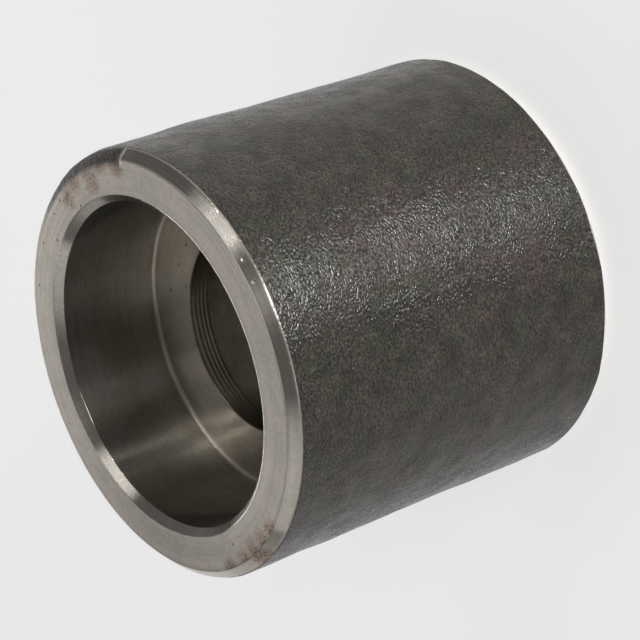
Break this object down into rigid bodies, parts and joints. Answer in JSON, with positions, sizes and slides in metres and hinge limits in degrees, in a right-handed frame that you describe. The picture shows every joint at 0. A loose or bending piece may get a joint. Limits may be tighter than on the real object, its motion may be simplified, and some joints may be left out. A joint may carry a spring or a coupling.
{
  "type": "socket weld coupling",
  "caption": "Short thick-walled steel pipe coupling with a stepped bore: a plain socket at each end takes a pipe for welding, with a narrower waterway between.",
  "frame": {"origin": "centre of the lower end face, on the bore's axis", "axes": "+Z along the bore's axis, upwards out of the upper socket; X and Y lie in the lower end face"},
  "size_m": [0.0452, 0.0452, 0.0423],
  "materials": {
    "forged_steel": "dark forged scale outside, bright turned ends and bore"
  },
  "bodies": {
    "root": {"coupling_body": "forged_steel"}
  },
  "joints": []
}
